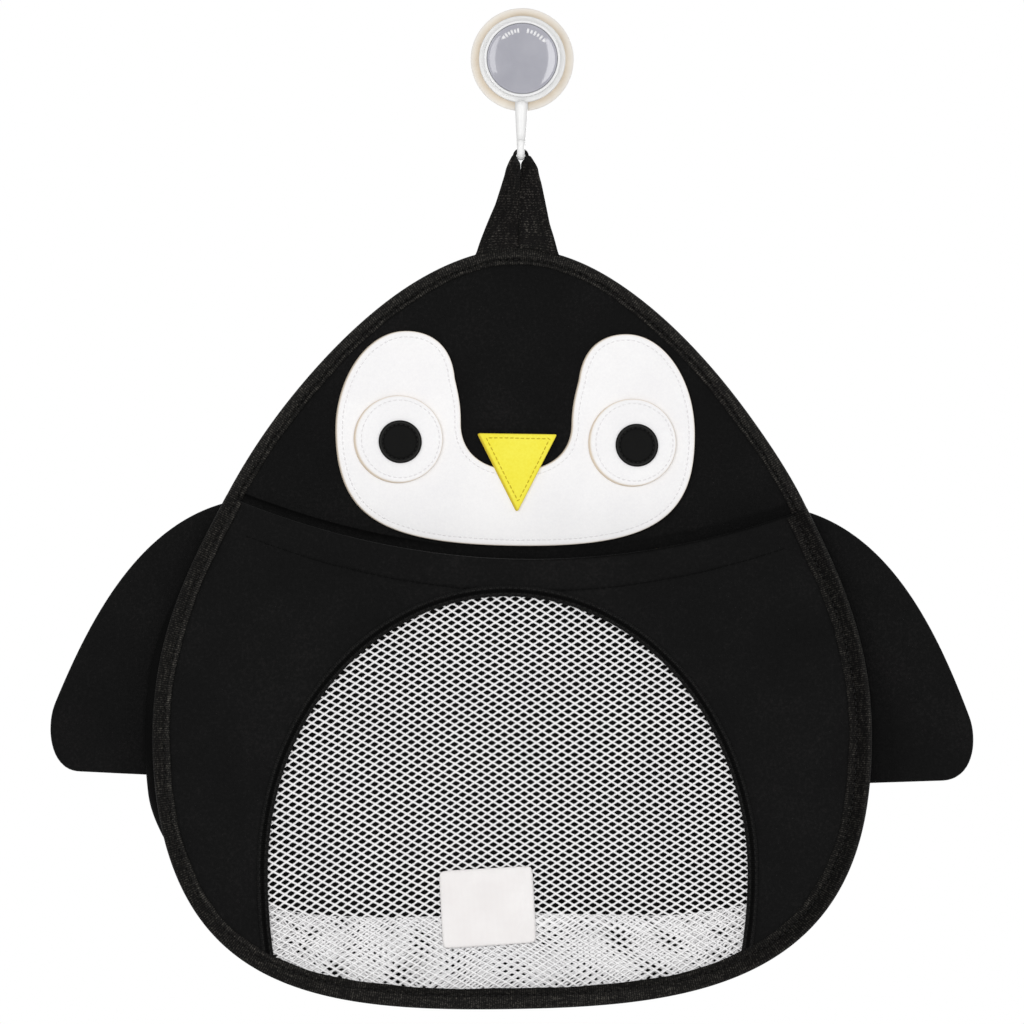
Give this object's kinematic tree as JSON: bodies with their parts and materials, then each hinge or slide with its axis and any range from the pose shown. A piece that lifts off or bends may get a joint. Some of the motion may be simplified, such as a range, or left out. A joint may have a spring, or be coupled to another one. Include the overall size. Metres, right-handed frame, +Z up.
{
  "type": "bath toy organizer",
  "caption": "Penguin-shaped neoprene pouch with a net window and fins, hung by a strap loop from a twist-lock suction hook; holds and drains bath toys.",
  "frame": {"origin": "centre of the suction cup on the wall's face", "axes": "+Y into the wall, +Z up, +X to the right as seen from the front"},
  "size_m": [0.4216, 0.0451, 0.455],
  "materials": {
    "cup_rubber": "translucent satin",
    "stud_plastic": "moulded",
    "hook_plastic": "moulded gloss",
    "knob_plastic": "moulded gloss",
    "cap_plastic": "satin",
    "strap_tape": "ribbed tape",
    "neoprene": "knit-faced neoprene",
    "binding_tape": "ribbed tape",
    "white_felt": "knit-faced neoprene",
    "black_felt": "knit-faced neoprene",
    "yellow_felt": "knit-faced neoprene",
    "white_net": "open knit",
    "gusset_cloth": "knit",
    "label_cloth": "woven satin"
  },
  "bodies": {
    "hook": {"suction_cup": "cup_rubber", "hook_base": "hook_plastic"},
    "knob": {"twist_knob": "knob_plastic", "knob_cap": "cap_plastic"},
    "stud": {"pull_stud": "stud_plastic"},
    "loop": {"loop_strap": "strap_tape"},
    "bag": {"back_panel": "neoprene", "back_binding": "binding_tape", "face_patch": "white_felt", "left_eye": "white_felt", "right_eye": "white_felt", "left_pupil": "black_felt", "right_pupil": "black_felt", "beak": "yellow_felt", "front_panel": "neoprene", "mouth_hem": "neoprene", "front_mesh": "white_net", "window_trim": "binding_tape", "front_binding": "binding_tape", "left_gusset": "gusset_cloth", "right_gusset": "gusset_cloth", "drain_gusset": "white_net", "blank_label": "label_cloth", "left_fin_root": "neoprene", "right_fin_root": "neoprene"},
    "fin_left": {"left_fin": "neoprene"},
    "fin_right": {"right_fin": "neoprene"}
  },
  "joints": [
    {"name": "knob_twist", "type": "hinge", "parent": "hook", "child": "knob", "pos_m": [0, -0.0113, 0], "axis": [0, -1, 0], "range_deg": [0, 90]},
    {"name": "stud_pull", "type": "slide", "parent": "hook", "child": "stud", "axis": [0, 1, 0], "range_m": [0, 0.003]},
    {"name": "loop_swing", "type": "hinge", "parent": "hook", "child": "loop", "pos_m": [0, -0.01635, -0.0445], "axis": [0, -1, 0], "range_deg": [-20, 20]},
    {"name": "bag_tilt", "type": "hinge", "parent": "loop", "child": "bag", "pos_m": [0, -0.0026, -0.0871], "axis": [-1, 0, 0], "range_deg": [0, 30]},
    {"name": "left_fin_fold", "type": "hinge", "parent": "bag", "child": "fin_left", "pos_m": [-0.16316, -0.0041, -0.266], "axis": [0.2366, 0, 0.9716], "range_deg": [0, 80], "stiffness_Nm_per_rad": 0.02},
    {"name": "right_fin_fold", "type": "hinge", "parent": "bag", "child": "fin_right", "pos_m": [0.16316, -0.0041, -0.266], "axis": [0.2366, 0, -0.9716], "range_deg": [0, 80], "stiffness_Nm_per_rad": 0.02}
  ],
  "couplings": [
    {"joint": "stud_pull", "follows": "knob_twist", "m_per_rad": 0.0019098}
  ]
}
